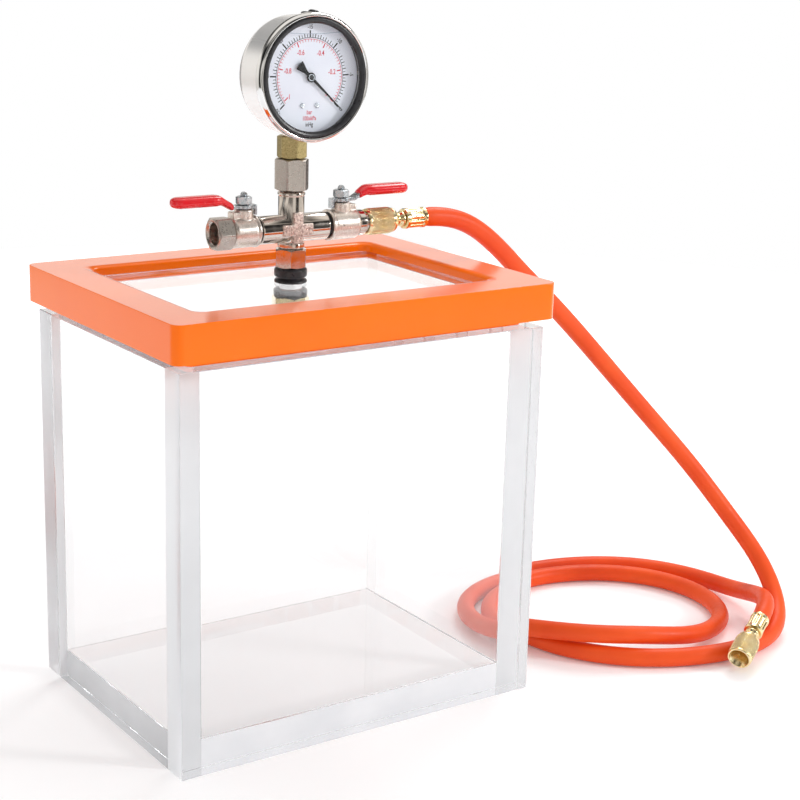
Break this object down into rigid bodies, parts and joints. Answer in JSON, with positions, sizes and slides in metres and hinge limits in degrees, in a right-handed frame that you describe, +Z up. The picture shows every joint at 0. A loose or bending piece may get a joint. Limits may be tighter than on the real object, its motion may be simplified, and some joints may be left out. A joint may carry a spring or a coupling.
{
  "type": "vacuum degassing chamber",
  "caption": "Clear acrylic box vacuum chamber with an orange-gasketed lift-off lid, a dial vacuum gauge, lever ball valves on a cross fitting and a looped rubber hose.",
  "frame": {"origin": "middle of the chamber's underside, on the surface it stands on", "axes": "+Z up, +X to the right along the wide front face (the hose valve's side), +Y from the front face to the back, so the gauge faces -Y"},
  "size_m": [0.4381, 0.2284, 0.3822],
  "materials": {
    "clear_acrylic": "clear, polished edges",
    "orange_silicone": "smooth satin",
    "black_rubber": "satin",
    "hose_rubber": "smooth satin",
    "polished_nickel": "polished nickel plate on brass",
    "satin_nickel": "satin nickel plate on brass",
    "cast_nickel": "nickel plate over a fine cast texture",
    "polished_steel": "mirror polished",
    "zinc": "zinc plated",
    "brass": "machined",
    "ptfe": "smooth white",
    "red_vinyl": "glossy dipped vinyl",
    "gauge_glass": "clear flat window",
    "dial_white": "white enamel",
    "black_paint": "matt black paint"
  },
  "bodies": {
    "root": {"base_plate": "clear_acrylic", "front_wall": "clear_acrylic", "back_wall": "clear_acrylic", "left_wall": "clear_acrylic", "right_wall": "clear_acrylic", "hose": "hose_rubber", "far_ferrule": "brass", "far_hose_tail": "brass"},
    "lid": {"lid_seal": "orange_silicone", "lid_plate": "clear_acrylic", "lid_frame": "orange_silicone", "upper_washer": "black_rubber", "lower_washer": "black_rubber", "lock_nut": "brass", "lid_adapter": "polished_nickel", "cross_fitting": "cast_nickel", "left_thread_seal": "black_rubber", "right_thread_seal": "black_rubber", "gauge_coupling": "satin_nickel", "gauge_case": "polished_steel", "gauge_bezel": "polished_steel", "gauge_seal": "black_rubber", "gauge_window": "gauge_glass", "fill_plug": "black_rubber", "gauge_dial": "dial_white", "left_dial_screw": "zinc", "right_dial_screw": "zinc", "movement_frame": "brass", "bourdon_tube": "brass", "gauge_socket": "brass", "left_valve_body": "cast_nickel", "left_valve_connector": "satin_nickel", "left_inner_seat": "ptfe", "left_outer_seat": "ptfe", "left_stem_packing": "ptfe", "right_valve_body": "cast_nickel", "right_valve_connector": "polished_nickel", "right_inner_seat": "ptfe", "right_outer_seat": "ptfe", "right_stem_packing": "ptfe", "near_ferrule": "brass", "near_hose_tail": "brass"},
    "left_lever": {"left_valve_ball": "polished_steel", "left_valve_stem": "brass", "left_valve_lever": "zinc", "left_lever_grip": "red_vinyl", "left_lever_nut": "zinc"},
    "right_lever": {"right_valve_ball": "polished_steel", "right_valve_stem": "brass", "right_valve_lever": "zinc", "right_lever_grip": "red_vinyl", "right_lever_nut": "zinc"},
    "pointer": {"gauge_pointer": "black_paint", "pointer_cap": "zinc", "pointer_arbor": "brass"},
    "sector": {"sector_gear": "brass"},
    "link": {"tip_link": "brass"},
    "near_nut": {"near_hose_nut": "brass"},
    "far_nut": {"far_hose_nut": "brass"}
  },
  "joints": [
    {"name": "lid_lift", "type": "slide", "parent": "root", "child": "lid", "axis": [0, 0, 1], "range_m": [0, 0.12], "deforming": ["hose"]},
    {"name": "left_valve_turn", "type": "hinge", "parent": "lid", "child": "left_lever", "pos_m": [-0.0295, 0, 0.278], "axis": [0, 0, 1], "range_deg": [0, 90]},
    {"name": "right_valve_turn", "type": "hinge", "parent": "lid", "child": "right_lever", "pos_m": [0.032, 0, 0.278], "axis": [0, 0, -1], "range_deg": [0, 90]},
    {"name": "pointer_turn", "type": "hinge", "parent": "lid", "child": "pointer", "pos_m": [0, -0.0183, 0.3475], "axis": [0, -1, 0], "range_deg": [0, 264], "stiffness_Nm_per_rad": 0.0002, "springref_deg": -17.19},
    {"name": "sector_turn", "type": "hinge", "parent": "lid", "child": "sector", "pos_m": [0, -0.011, 0.3363], "axis": [0, -1, 0], "range_deg": [-44.5, 0]},
    {"name": "link_turn", "type": "hinge", "parent": "sector", "child": "link", "pos_m": [-0.00325, -0.0089, 0.33499], "axis": [0, -1, 0], "range_deg": [0, 44.5]},
    {"name": "near_nut_turn", "type": "hinge", "parent": "lid", "child": "near_nut", "pos_m": [0.0565, 0, 0.265], "axis": [1, 0, 0], "continuous": true},
    {"name": "far_nut_turn", "type": "hinge", "parent": "root", "child": "far_nut", "pos_m": [0.24178, -0.12897, 0.01183], "axis": [-0.8508, -0.4364, -0.2928], "continuous": true}
  ],
  "couplings": [
    {"joint": "sector_turn", "follows": "pointer_turn", "ratio": -0.16667},
    {"joint": "link_turn", "follows": "pointer_turn", "ratio": 0.16667}
  ]
}
